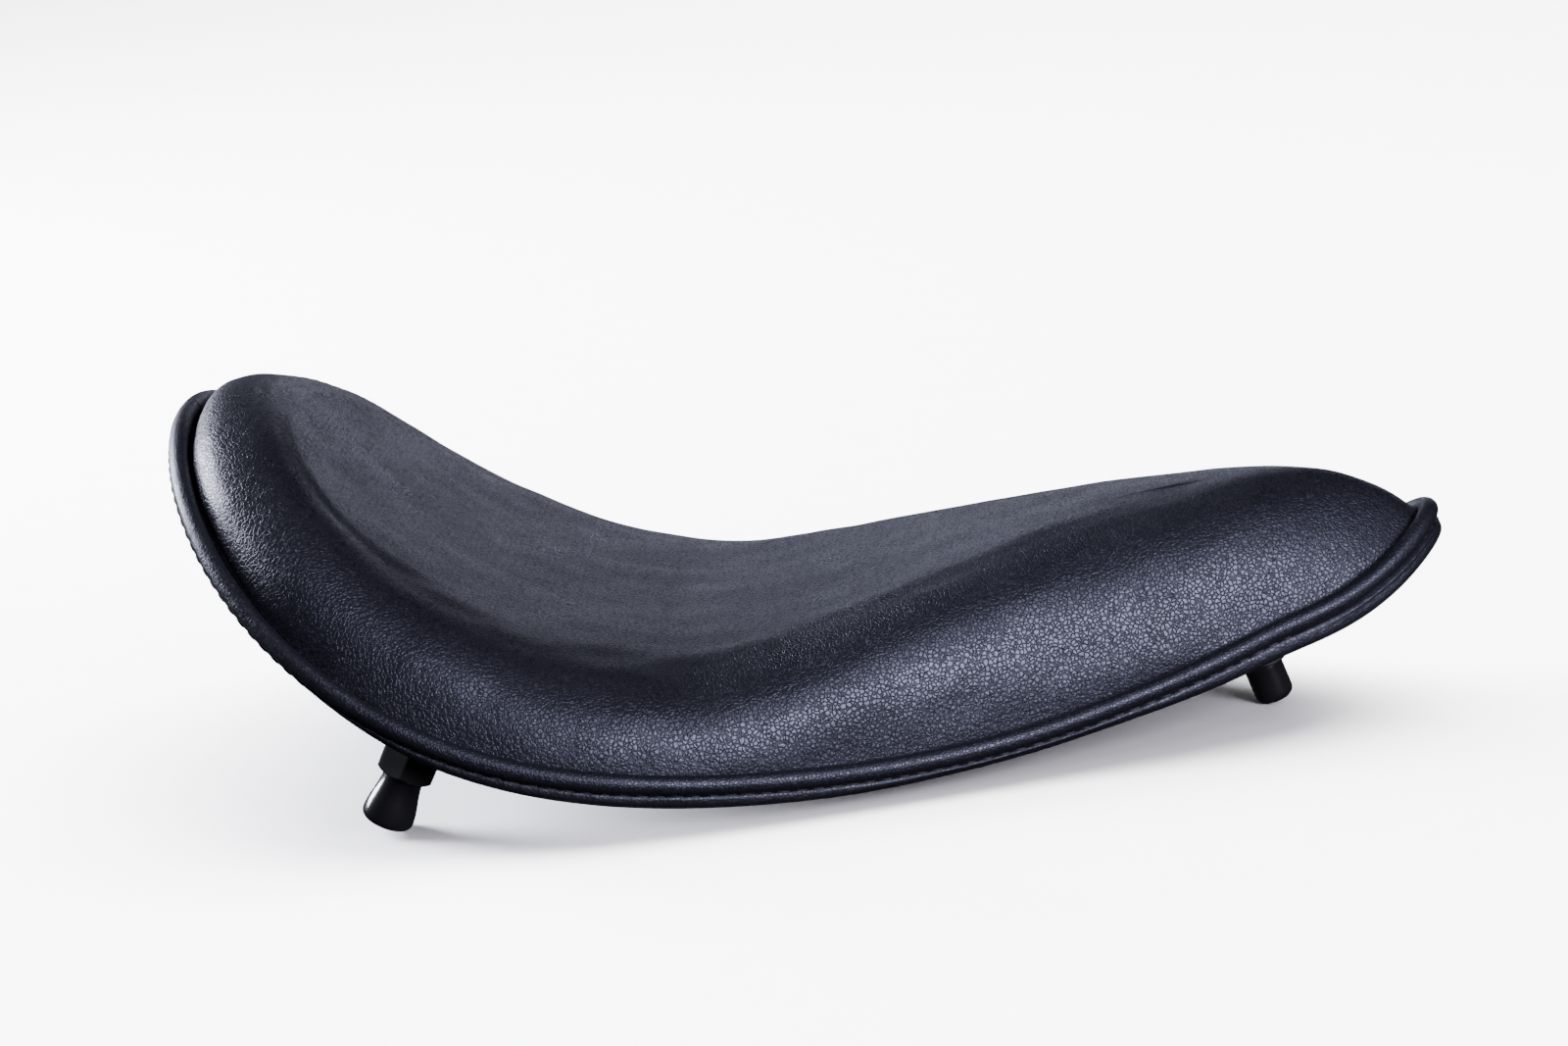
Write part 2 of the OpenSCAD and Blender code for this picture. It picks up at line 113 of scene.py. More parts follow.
def bez(P, t):
    P = np.asarray(P, float)
    t = np.asarray(t, float)[..., None]
    q = 1 - t
    return q ** 3 * P[0] + 3 * q * q * t * P[1] + 3 * q * t * t * P[2] + t ** 3 * P[3]


WAIST = 0.313
REAR = [[REAR_S, 0], [REAR_S, 0.62 * WIDE_Y], [WIDE_S - 0.55 * (WIDE_S - REAR_S), WIDE_Y], [WIDE_S, WIDE_Y]]
SIDE = [[WIDE_S, WIDE_Y], [WIDE_S + 0.37 * (NOSE_S - WIDE_S), WIDE_Y],
        [NOSE_S - 0.37 * (NOSE_S - WIDE_S), NOSE_Y + 0.37 * WAIST * (NOSE_S - WIDE_S)], [NOSE_S, NOSE_Y]]
NOSE = [[NOSE_S, NOSE_Y], [NOSE_S + 0.414 * (TIP_S - NOSE_S), NOSE_Y - 0.414 * WAIST * (TIP_S - NOSE_S)],
        [TIP_S, 0.382 * NOSE_Y], [TIP_S, 0]]


def outline(count):
    """Half outline with count + 1 points evenly spaced along its length, with inward normals, aims and reaches."""
    t = np.linspace(0, 1, 1201)
    E = np.vstack([bez(REAR, t), bez(SIDE, t)[1:], bez(NOSE, t)[1:]])
    P3 = pt(E[:, 0], E[:, 1], 0)
    L = np.concatenate([[0], np.cumsum(np.linalg.norm(np.diff(P3, axis=0), axis=1))]) / MM
    T = np.gradient(E, axis=0)
    T /= np.linalg.norm(T, axis=1)[:, None]
    T[0], T[-1] = [0, 1], [0, -1]
    at_l = np.linspace(0, L[-1], count + 1)
    e = np.stack([np.interp(at_l, L, E[:, k]) for k in (0, 1)], 1)
    tt = np.stack([np.interp(at_l, L, T[:, k]) for k in (0, 1)], 1)
    tt /= np.linalg.norm(tt, axis=1)[:, None]
    n = np.stack([tt[:, 1], -tt[:, 0]], 1)
    aim = np.stack([-115 + (e[:, 0] - REAR_S) / (TIP_S - REAR_S) * 265, np.zeros(count + 1)], 1)
    reach = np.linalg.norm(aim - e, axis=1)
    return dict(E=e, N=n, A=aim, R=reach, L=at_l, H=count)


def unroll(o, key):
    """Half outline values to the full loop: down one side (y < 0) and back up the other."""
    H = o["H"]
    idx = np.concatenate([np.arange(H + 1), np.arange(H - 1, 0, -1)])
    return o[key][idx]


def loop(count):
    o = outline(count)
    H = count
    f = {k: unroll(o, k) for k in ("E", "N", "A", "R", "L")}
    f["sd"] = np.where(np.arange(2 * H) <= H, -1.0, 1.0)
    f["way"] = np.where(np.arange(2 * H) <= H, f["L"], 2 * o["L"][-1] - f["L"])
    f["H"], f["W"], f["total"] = H, 2 * H, 2 * o["L"][-1]
    return f


def path(f, d):
    """Plate position (s, signed y) at inward distance d (array that broadcasts with the loop)."""
    d = np.asarray(d, float)
    t = (d / f["R"])[..., None]
    q = 1 - t
    E, A = f["E"], f["A"]
    p = q ** 3 * E + 3 * q * q * t * (E + f["N"] * f["R"][:, None] / 3) + q * t * t * (E + 2 * A) + t ** 3 * A
    return p[..., 0], p[..., 1] * f["sd"]


def spot(f, d, n):
    s, y = path(f, d)
    return pt(s, y, n)


def waves(p, count, length, seed, stretch=(1, 1, 1), power=1.0):
    """Smooth repeatable noise of about unit size: sines of random directions at points p (mm)."""
    r = np.random.RandomState(seed)
    out = np.zeros(p.shape[:-1])
    for _ in range(count):
        v = r.normal(size=3)
        v /= np.linalg.norm(v)
        k = 2 * math.pi / (length * r.uniform(0.7, 1.5))
        out += np.sin((p / np.asarray(stretch)) @ v * k + r.uniform(0, 6.283))
    return out / math.sqrt(count) * power


def bump1(x, lo, hi, soft):
    """1 between lo and hi, falling to 0 over soft."""
    a = np.clip((x - lo) / soft + 0.5, 0, 1)
    b = np.clip((hi - x) / soft + 0.5, 0, 1)
    a = a * a * (3 - 2 * a)
    b = b * b * (3 - 2 * b)
    return a * b


# ---------------------------------------------------------------- meshes
def make(name, verts, faces, smooth=True, sharp=None):
    me = bpy.data.meshes.new(name)
    verts = np.ascontiguousarray(verts, np.float32).reshape(-1, 3)
    me.vertices.add(len(verts))
    me.vertices.foreach_set("co", verts.ravel())
    sizes = np.array([len(q) for q in faces], np.int32) if not isinstance(faces, np.ndarray) else np.full(len(faces), faces.shape[1], np.int32)
    flat = np.concatenate([np.asarray(q, np.int32) for q in faces]) if not isinstance(faces, np.ndarray) else faces.astype(np.int32).ravel()
    me.loops.add(len(flat))
    me.loops.foreach_set("vertex_index", flat)
    me.polygons.add(len(sizes))
    starts = np.concatenate([[0], np.cumsum(sizes)[:-1]]).astype(np.int32)
    me.polygons.foreach_set("loop_start", starts)
    me.polygons.foreach_set("loop_total", sizes)
    me.polygons.foreach_set("use_smooth", np.full(len(sizes), bool(smooth)))
    me.update(calc_edges=True)
    me.validate()
    ob = bpy.data.objects.new(name, me)
    bpy.context.scene.collection.objects.link(ob)
    if sharp is not None:
        me.set_sharp_from_angle(angle=math.radians(sharp))
    return ob


def quads(rows, cols, close_cols=True, close_rows=False):
    """Quads of a grid of rows x cols, rows outer index."""
    j = np.arange(rows if close_rows else rows - 1)
    i = np.arange(cols if close_cols else cols - 1)
    J, I = np.meshgrid(j, i, indexing="ij")
    a = J * cols + I
    b = J * cols + (I + 1) % cols
    c = ((J + 1) % rows) * cols + I
    d = ((J + 1) % rows) * cols + (I + 1) % cols
    return np.stack([a, b, d, c], -1).reshape(-1, 4)


def normals_of(P):
    """Outward normals of grid P[row, col, 3] whose columns close."""
    du = np.roll(P, -1, 1) - np.roll(P, 1, 1)
    dv = np.gradient(P, axis=0)
    n = np.cross(du, dv)
    return n / np.maximum(np.linalg.norm(n, axis=-1), 1e-12)[..., None]


# ---------------------------------------------------------------- cushion cover
def fall(f, ins):
    return np.minimum(at(SHOULDER, f["E"][:, 0]), 0.9 * (f["R"] - ins))


def rise(f, d, ins, off, nb):
    t = np.clip((d - ins) / fall(f, ins), 0, 1)
    g = np.sqrt(np.maximum(0, 1 - (1 - t) ** FULL))
    s, _ = path(f, d)
    h = at(CROWN, s) - off
    return nb + (h - nb) * g * (1 - 0.03 * (1 - d / f["R"]) ** 2)


def swell(f, d, ins, n):
    """How far the rear wall of the cushion bulges out over the piping at height n."""
    t = np.clip((d - ins) / fall(f, ins), 0, 1)
    s, _ = path(f, d)
    w = np.clip((n - 3.3) / (at(CROWN, s) - 3.3), 0, 1)
    return BULGE * np.clip((-130 - f["E"][:, 0]) / 70, 0, 1) * np.sin(math.pi * w ** 0.8) * (1 - t)


def cover_grid(f, rows_wall, rows_top, ins, nb):
    fl = fall(f, ins)
    a = (np.arange(rows_wall) / rows_wall) ** 2.0
    d1 = ins + a[:, None] * fl[None, :]
    b = np.arange(rows_top + 1) / rows_top
    b = b + 0.12 * np.sin(math.pi * b) * 0
    d2 = (ins + fl)[None, :] + b[:, None] * (f["R"] - ins - fl)[None, :]
    d = np.vstack([d1, d2])
    n = rise(f, d, ins, 0.0, nb)
    s, y = path(f, d - swell(f, d, ins, n))
    return d, n, s, y


def cubic_weights(count, step):
    """Matrix that takes values at every step-th index to all indices, Catmull-Rom."""
    m = (count - 1) // step + 1
    M = np.zeros((count, m))
    for i in range(count):
        u = i / step
        k = min(int(u), m - 2)
        t = u - k
        w = [-0.5 * t + t * t - 0.5 * t ** 3, 1 - 2.5 * t * t + 1.5 * t ** 3,
             0.5 * t + 2 * t * t - 1.5 * t ** 3, -0.5 * t * t + 0.5 * t ** 3]
        for q, ww in zip(range(k - 1, k + 3), w):
            M[i, min(max(q, 0), m - 1)] += ww
    return M


def cubic_weights_loop(count, step):
    m = count // step
    M = np.zeros((count, m))
    for i in range(count):
        u = i / step
        k = int(u)
        t = u - k
        w = [-0.5 * t + t * t - 0.5 * t ** 3, 1 - 2.5 * t * t + 1.5 * t ** 3,
             0.5 * t + 2 * t * t - 1.5 * t ** 3, -0.5 * t * t + 0.5 * t ** 3]
        for q, ww in zip(range(k - 1, k + 3), w):
            M[i, q % m] += ww
    return M


def settle(P, H):
    """Cloth simulation of the cover on its padding: P[row, col, 3] coarse grid in metres, rim pinned."""
    rows, cols = P.shape[:2]
    Hc = cols // 2
    verts = list(P[:-1].reshape(-1, 3))
    base = len(verts)
    verts += list(P[-1][: Hc + 1])
    faces = [tuple(q) for q in quads(rows - 1, cols)]
    half = lambda i: i if i <= Hc else cols - i
    o = (rows - 2) * cols
    for i in range(cols):
        a, b = o + i, o + (i + 1) % cols
        c, d = base + half(i), base + half((i + 1) % cols)
        faces.append((a, b, d, c) if c != d else (a, b, c))
    ob = make("settling", np.array(verts), faces)
    pin = ob.vertex_groups.new(name="pin")
    for j in range(rows - 1):
        w = max(0.0, 1 - j / 1.5)
        if w > 0:
            pin.add(list(range(j * cols, (j + 1) * cols)), w, "REPLACE")
    mod = ob.modifiers.new("cloth", "CLOTH")
    c = mod.settings
    c.quality = 6
    c.mass = 0.35
    c.tension_stiffness = 28
    c.compression_stiffness = 22
    c.shear_stiffness = 14
    c.bending_stiffness = 4.0
    c.use_pressure = True
    c.uniform_pressure_force = 3.2
    c.effector_weights.gravity = 0
    c.vertex_group_mass = "pin"
    c.shrink_min = 0.003
    mod.collision_settings.use_collision = False
    mod.collision_settings.use_self_collision = False
    mod.point_cache.frame_start = 1
    mod.point_cache.frame_end = 24
    sc = bpy.context.scene
    for k in range(1, 21):
        sc.frame_set(k)
    dg = bpy.context.evaluated_depsgraph_get()
    ev = ob.evaluated_get(dg)
    me = ev.to_mesh()
    co = np.zeros(len(me.vertices) * 3)
    me.vertices.foreach_get("co", co)
    co = co.reshape(-1, 3)
    ev.to_mesh_clear()
    sc.frame_set(1)
    bpy.data.objects.remove(ob, do_unlink=True)
    out = P.copy()
    out[:-1] = co[:base].reshape(rows - 1, cols, 3)
    for i in range(cols):
        out[-1, i] = co[base + half(i)]
    return out - P


COLS_HALF, ROW_STEP, COL_STEP = 312, 4, 6
cf = loop(COLS_HALF)
INS, NB = 3.15, -0.5
d, n, s, y = cover_grid(cf, 44, 40, INS, NB)
P = pt(s, y, n)
ROWS, COLS = P.shape[:2]
fl = fall(cf, INS)
wall = np.clip((d - INS) / fl[None, :], 0, 1)       # 0 at the rim, 1 where the flat top starts
g = np.sqrt(np.maximum(0, 1 - (1 - wall) ** FULL))   # 0 at the rim, 1 at the top: height up the wall

delta = np.zeros(P.shape)
coarse = P[::ROW_STEP, ::COL_STEP]
dl = settle(coarse, COLS_HALF)
size = np.linalg.norm(dl, axis=-1)
print("cloth moved, mm: mean", float(size.mean() / MM), "max", float(size.max() / MM))
nn = normals_of(coarse)
along = (dl * nn).sum(-1)
mean = np.median(along)
# keep the shape the foam gives it: the swelling beyond the padding is held back
along = (along - mean)
for _ in range(5):   # only the slow part of the settling is kept, the leather lies smooth
    along = 0.5 * along + 0.25 * (np.roll(along, 1, 1) + np.roll(along, -1, 1))
    along[1:-1] = 0.5 * along[1:-1] + 0.25 * (along[:-2] + along[2:])
cap = 0.45 * MM
along = cap * np.tanh(along / cap)
MR = cubic_weights(ROWS, ROW_STEP)
MC = cubic_weights_loop(COLS, COL_STEP)
field = MR @ along @ MC.T
ramp = np.clip(g / 0.35, 0, 1)
field = field * (ramp * ramp * (3 - 2 * ramp))
delta = field

N = normals_of(P)
mm = P / MM
top = np.clip((g - 0.85) / 0.15, 0, 1)
# slow unevenness of the padding
h = 0.22 * waves(mm, 10, 46, 3) + 0.10 * waves(mm, 12, 17, 4)
# faint lengthwise wrinkles in the dish
yy = y + 3.0 * waves(mm, 6, 70, 6)
lines = np.sin(yy * 2 * math.pi / 8.6 + 1.1 * waves(mm, 6, 40, 7))
sharpen = -np.abs(np.sin(yy * math.pi / 8.6 + 0.7 * waves(mm, 6, 50, 8))) ** 0.7
h += 0.05 * sharpen * bump1(s, -75, 22, 60) * bump1(np.abs(y), 14, 78, 26) * (0.5 + 0.5 * waves(mm, 5, 30, 9, power=0.7)) * top
# fine wrinkles across the rear shoulder
h += 0.10 * np.sin(s * 2 * math.pi / 3.7 + 1.3 * waves(mm, 6, 24, 12)) * bump1(s, -222, -182, 16) * bump1(g, 0.62, 1.2, 0.3) * (0.6 + 0.5 * waves(mm, 6, 20, 13))
# creases up the side walls, strongest towards the nose
u = cf["way"][None, :] * np.ones_like(g)
nose_w = bump1(cf["E"][:, 0], 90, 195, 50)[None, :]
h += (0.055 * nose_w + 0.015) * np.sin(u * 2 * math.pi / 4.6 + 1.6 * waves(mm, 8, 26, 15) + 4 * g) * bump1(g, 0.08, 0.75, 0.3) * (0.5 + 0.7 * waves(mm, 8, 22, 16))
# drawn in at the seam between the stitches
seam = np.exp(-(n / 5.5) ** 2)
count = round(cf["total"] / PITCH / 3)
h += 0.13 * seam * np.sin(u * 2 * math.pi * count / cf["total"] + 0.9 * waves(mm, 8, 30, 18)) * (0.7 + 0.3 * waves(mm, 5, 60, 19))
h *= np.clip(g / 0.12, 0, 1)
P2 = P + N * ((h * MM + delta)[..., None])
# both sides share the middle line
mid = np.arange(COLS)
mirror = (-mid) % COLS
P2[-1] = 0.5 * (P2[-1] + P2[-1][mirror])
P2[-1][:, 1] = 0
N2 = normals_of(P2)
N2[-1] = 0.5 * (N2[-2] + N2[-2][mirror])
N2[-1] /= np.linalg.norm(N2[-1], axis=-1)[:, None]


def skin(name, outer, inner, H, curl):
    """Closed shell: outer rows from rim to middle, curl rows that join the rims, inner rows from rim to middle."""
    cols = 2 * H
    half = np.minimum(np.arange(cols), cols - np.arange(cols))
    V, F, o = [], [], 0

    def cap(rows_pts, flip):
        nonlocal o
        rows = rows_pts.shape[0]
        start = o
        V.append(rows_pts[:-1].reshape(-1, 3))
        V.append(rows_pts[-1][: H + 1])
        q = quads(rows - 1, cols) + start
        base = start + (rows - 1) * cols
        oo = start + (rows - 2) * cols
        i = np.arange(cols)
        a, b = oo + i, oo + (i + 1) % cols
        c, dd = base + half, base + half[(i + 1) % cols]
        last = np.stack([a, b, dd, c], 1)
        q = np.vstack([q, last])
        F.append(q if not flip else q[:, ::-1])
        o = base + H + 1
        return start

    a0 = cap(outer, False)
    b0 = cap(inner, True)
    c0 = o
    V.append(curl.reshape(-1, 3))
    o += curl.shape[0] * cols
    ring = lambda st: st + np.arange(cols)
    seq = [ring(a0)] + [ring(c0 + k * cols) for k in range(curl.shape[0])] + [ring(b0)]
    for r0, r1 in zip(seq[:-1], seq[1:]):
        F.append(np.stack([r0, r1, np.roll(r1, -1), np.roll(r0, -1)], 1))
    faces = np.vstack(F)
    verts = np.vstack(V)
    tri = faces[:, 2] == faces[:, 3]
    out = [tuple(q) for q in faces[~tri]] + [tuple(q[:3]) for q in faces[tri]]
    return make(name, verts, out)


inner = P2[::3] - N2[::3] * 1.35 * MM
if (ROWS - 1) % 3:
    inner = np.vstack([inner, (P2[-1] - N2[-1] * 1.35 * MM)[None]])
inner[-1][:, 1] = 0
rim_o, rim_i = P2[0], inner[0]
down = spot(cf, np.full(COLS, INS + 0.75), np.full(COLS, NB - 0.25))
curl = np.stack([0.5 * (rim_o + down), down, 0.5 * (rim_i + down)])
cover = skin("cushion_cover", P2, inner, COLS_HALF, curl)
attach(cover, "root")
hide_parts("top_cover")

STEP = 3
keep = np.unique(np.concatenate([np.arange(0, ROWS, STEP), [ROWS - 1]]))
pad_o = (P2 - N2 * 1.75 * MM)[keep][:, ::STEP]
pad_i = (P2 - N2 * 4.6 * MM)[keep][:, ::STEP]
for grid in (pad_o, pad_i):
    grid[-1][:, 1] = 0
edge_mid = 0.5 * (pad_o[0] + pad_i[0])[None]
wad = skin("wadding_layer", pad_o, pad_i, COLS_HALF // STEP, edge_mid)
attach(wad, "root")
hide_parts("wadding")

# ---------------------------------------------------------------- lower band
STITCHES = 2 * int(cf["total"] / 2 // PITCH)
PER = 10
bf = loop(STITCHES * PER // 2)
hb = at(BAND, bf["E"][:, 0])
k = np.clip((hb - 3.7) / 3.5, 0, 1)
L = lambda a, b: a + (b - a) * k
one = np.ones_like(hb)
q = [(1.4 * one, -3.15 * one), (0.35 * one, L(-3.1, -3.25)), (-0.45 * one, L(-3.3, -4.1)), (-0.4 * one, L(-3.4, -0.8 * hb)),
     (0.9 * one, 0.1 - hb), (2.3 * one, -hb), (L(4.2, 3.9), -hb + 0.1 * k), (L(5, 4.55), L(-3.7, 1 - hb)),
     (L(5.8, 4.8), -3.7 - 0.9 * k), (6.6 * one, -3.75 * one), (11 * one, -3.8 * one), (11 * one, -2.6 * one),
     (L(4.8, 4.6), -2.6 - 0.05 * k), (3.65 * one, -2.6 - 0.55 * k), (3.35 * one, 1.2 - hb), (L(1.9, 1.35), 1.2 - hb),
     (L(1.8, 1.4), L(-2.75, -3.6))]
dq = np.stack([a for a, _ in q])
nq = np.stack([b for _, b in q])
for _ in range(3):   # rounded corners: Chaikin on the closed section
    dq = np.stack([0.75 * dq + 0.25 * np.roll(dq, -1, 0), 0.25 * dq + 0.75 * np.roll(dq, -1, 0)], 1).reshape(-1, dq.shape[1])
    nq = np.stack([0.75 * nq + 0.25 * np.roll(nq, -1, 0), 0.25 * nq + 0.75 * np.roll(nq, -1, 0)], 1).reshape(-1, nq.shape[1])
S3 = spot(bf, dq, nq)
phase = bf["way"] / bf["total"] * STITCHES
near = np.cos(2 * math.pi * phase)          # 1 between stitches, -1 at a stitch's middle
outer_face = np.clip((0.6 - dq) / 0.5, 0, 1)
up = np.clip((nq + 6.5) / 3.2, 0, 1)
m3 = S3 / MM
push = 0.10 * near * outer_face * up + 0.10 * waves(m3, 8, 19, 21) * outer_face + 0.05 * waves(m3, 8, 7, 22) * outer_face
# holes where the thread goes in
hole = np.exp(-(((phase % 1) - 0.14) / 0.05) ** 2) + np.exp(-(((phase % 1) - 0.86) / 0.05) ** 2)
push -= 0.22 * hole * np.exp(-((nq + 3.75) / 0.55) ** 2) * outer_face
# small ridge close under the piping at the nose
ridge = bump1(bf["E"][:, 0], 170, 300, 30)
push += 0.35 * ridge * np.exp(-((nq + 4.4) / 0.45) ** 2) * outer_face
out_dir = spot(bf, dq - 0.5, nq) - spot(bf, dq + 0.5, nq)
out_dir /= np.linalg.norm(out_dir, axis=-1)[..., None]
S3 = S3 + out_dir * (push * MM)[..., None]
band = make("band_cover", S3, quads(S3.shape[0], S3.shape[1], True, True)[:, ::-1])
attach(band, "root")
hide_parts("skirt_cover")

# ---------------------------------------------------------------- piping
pf = loop(640)
PW = pf["W"]


def frames(f):
    """Centre line of the piping with its inward and upward directions, square to the line."""
    zero = np.zeros(f["W"])
    C = spot(f, zero, zero)
    T = np.roll(C, -1, 0) - np.roll(C, 1, 0)
    T /= np.linalg.norm(T, axis=1)[:, None]
    inx = spot(f, zero + 0.6, zero) - spot(f, zero - 0.0, zero)
    inx -= (inx * T).sum(1)[:, None] * T
    inx /= np.linalg.norm(inx, axis=1)[:, None]
    upn = np.cross(inx, T)
    upn *= np.sign((upn * (spot(f, zero, zero + 1) - C)).sum(1))[:, None]
    return C, inx, upn


C, inx, upn = frames(pf)
order = np.concatenate([np.arange(1, PW)])   # open at the rear joint
ends = 9
sides = 28
th = np.linspace(0, 2 * math.pi, sides, endpoint=False)
start = pt(np.array(REAR_S), np.array(-0.25), np.array(0.0))
stop = pt(np.array(REAR_S), np.array(0.75), np.array(0.0))
CC = np.vstack([start[None], C[order], stop[None]])
II = np.vstack([inx[0][None], inx[order], inx[0][None]])
UU = np.vstack([upn[0][None], upn[order], upn[0][None]])
way = np.concatenate([[0.0], pf["way"][order], [pf["total"]]])
ph = way / pf["total"] * STITCHES
rad = WELT_R * np.ones((len(CC), sides))
mmC = CC / MM
rad += (0.05 * waves(mmC, 8, 26, 31) + 0.03 * waves(mmC, 8, 9, 32))[:, None]
low = np.clip(-np.sin(th), 0, 1)[None, :] ** 2
rad += 0.06 * np.cos(2 * math.pi * ph)[:, None] * low
ring = CC[:, None, :] + (rad * MM)[..., None] * (np.cos(th)[None, :, None] * II[:, None, :] + np.sin(th)[None, :, None] * UU[:, None, :])


def end_cap(centre, i_dir, u_dir, out, r, notch):
    """Rows that round the cut end over and turn into the bore."""
    rows = []
    for tt in np.linspace(0.15, 1, 5):
        rr = r - 0.45 * (1 - math.cos(tt * math.pi / 2))
        shift = out * 0.45 * math.sin(tt * math.pi / 2)
        rows.append(centre + shift * MM + rr * MM * (np.cos(th)[:, None] * i_dir + np.sin(th)[:, None] * u_dir))
    for rr, back in ((r - 0.85, 0.25), (r - 1.0, -0.6), (r - 1.05, -4.0)):
        rows.append(centre + out * back * MM + rr * MM * (np.cos(th)[:, None] * i_dir + np.sin(th)[:, None] * u_dir))
    if notch:
        for q_, row in enumerate(rows):
            w = np.clip(np.sin(th - 0.4), 0, 1) ** 3
            row -= (out * 1.1 * MM) * w[:, None] * (1 if q_ < 6 else 0)
    return rows


t0 = np.array([0.0, 1.0, 0.0])
first = end_cap(CC[0], II[0], UU[0], t0, 2.98, True)
last = end_cap(CC[-1], II[-1], UU[-1], -t0, 2.98, False)
ringall = np.vstack([np.array(first[::-1]), ring, np.array(last)])
rows_p = ringall.shape[0]
pq = quads(rows_p, sides)
f_end = [tuple(range(sides - 1, -1, -1)), tuple((rows_p - 1) * sides + np.arange(sides))]
piping = make("piping", ringall.reshape(-1, 3), [tuple(x) for x in pq[:, ::-1]] + [tuple(x[::-1]) for x in f_end])
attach(piping, "root")
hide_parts("welt_sleeve")

# ---------------------------------------------------------------- stitches
sf = loop(STITCHES * 5)
Cs, in_s, up_s = frames(sf)
V, F, o = [], [], 0
sides_t, len_t = 8, 11
ta = np.linspace(0, 2 * math.pi, sides_t, endpoint=False)
for kx in range(STITCHES):
    mid_w = (kx + 0.5) / STITCHES * sf["W"]
    span = 0.355 / STITCHES * sf["W"]
    rows = []
    for t in np.linspace(-1, 1, len_t):
        w = mid_w + t * span
        i0 = int(math.floor(w)) % sf["W"]
        fr = w - math.floor(w)
        i1 = (i0 + 1) % sf["W"]
        c = Cs[i0] * (1 - fr) + Cs[i1] * fr
        ii = in_s[i0] * (1 - fr) + in_s[i1] * fr
        uu = up_s[i0] * (1 - fr) + up_s[i1] * fr
        dip = 0.55 * abs(t) ** 3
        base = c + (0.12 + dip) * MM * ii - (3.62 + 0.08 * t) * MM * uu
        tang = Cs[i1] - Cs[i0]
        tang /= np.linalg.norm(tang)
        r = 0.31 * math.sqrt(max(0.05, 1 - abs(t) ** 6))
        rows.append(base + r * MM * (np.cos(ta)[:, None] * ii + np.sin(ta)[:, None] * np.cross(tang, ii)))
    V.append(np.array(rows).reshape(-1, 3))
    q4 = quads(len_t, sides_t) + o
    F += [tuple(x) for x in q4]
    F.append(tuple(o + np.arange(sides_t)[::-1]))
    F.append(tuple(o + (len_t - 1) * sides_t + np.arange(sides_t)))
    o += len_t * sides_t
stitches = make("seam_stitches", np.vstack(V), F)
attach(stitches, "root")
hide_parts("welt_stitching")


# ---------------------------------------------------------------- posts and standoffs
def place(sx, yx):
    a = float(bend(sx))
    c = pt(np.array(sx), np.array(yx), np.array(0.0))
    return Matrix(((math.cos(a), 0, -math.sin(a), c[0]), (0, 1, 0, c[1]), (math.sin(a), 0, math.cos(a), c[2]), (0, 0, 0, 1)))


def turned(name, rows, cols, where, sharp=28):
    """Solid of rows (function of angle -> radius, height) in mm, closed at both poles, placed on the plate."""
    th = np.linspace(0, 2 * math.pi, cols, endpoint=False)
    R = []
    for fn, z in rows:
        r = fn(th) if callable(fn) else np.full(cols, float(fn))
        zz = z(th) if callable(z) else np.full(cols, float(z))
        R.append(np.stack([r * np.cos(th), r * np.sin(th), zz], 1))
    P = np.array(R)
    first_c, last_c = P[0].mean(0), P[-1].mean(0)
    V = np.vstack([P.reshape(-1, 3), first_c[None], last_c[None]]) * MM
    m = np.array(where)
    V = V @ m[:3, :3].T + m[:3, 3]
    q = quads(len(rows), cols)
    n0 = len(rows) * cols
    F = [tuple(x) for x in q[:, ::-1]]
    i = np.arange(cols)
    F += [(n0, int(a), int(b)) for a, b in zip(i, np.roll(i, -1))]
    e = (len(rows) - 1) * cols
    F += [(n0 + 1, int(e + b), int(e + a)) for a, b in zip(i, np.roll(i, -1))]
    return make(name, V, F, sharp=sharp)


def thread(r_minor, r_major, pitch, z0, z1, step, fade=1.0):
    """Rows of a helical thread from z0 to z1 (either direction)."""
    rows = []
    count = max(2, int(abs(z1 - z0) / step))
    for z in np.linspace(z0, z1, count):
        e = min(1.0, abs(z - z0) / fade, abs(z - z1) / fade)

        def fn(th, z=z, e=e):
            w = (z / pitch - th / (2 * math.pi)) % 1.0
            tri = np.clip(1.35 * (1 - np.abs(2 * w - 1)) - 0.12, 0, 1)
            return r_minor + (r_major - r_minor) * tri * e
        rows.append((fn, z))
    return rows


def post(name, r0, r1, tip, where):
    a = 20.1
    rows = [(0.3, 9.2 - a), (2.9, 9.2 - a), (3.3, 8.9 - a)]
    rows += thread(3.35, 3.97, 1.25, 8.6 - a, 0.3 - a, 0.14)
    rows += [(3.5, 0.05 - a), (4.4, -a), (r0 - 0.45, -a), (r0 - 0.2, -a - 0.05), (r0 - 0.05, -a - 0.2), (r0, -a - 0.45)]
    kk = 2.6
    for t in np.linspace(0, 1, 24):
        rows.append((r0 + (r1 - r0) * t * t * (3 - 2 * t), (-a - 1.2) * (1 - t) + (-tip + kk) * t))
    for t in np.radians(np.linspace(5, 90, 12)):
        rows.append((r1 - kk + kk * math.cos(t), -tip + kk - kk * math.sin(t)))
    rows += [(4.5, -tip), (4.3, -tip + 0.05), (4.0, -tip + 0.35)]
    rows += thread(3.42, 4.0, 1.25, -tip + 0.4, -tip + 9.6, 0.14)
    rows += [(3.4, -tip + 9.8), (0.4, -tip + 10.0)]
    return turned(name, rows, 96, where)


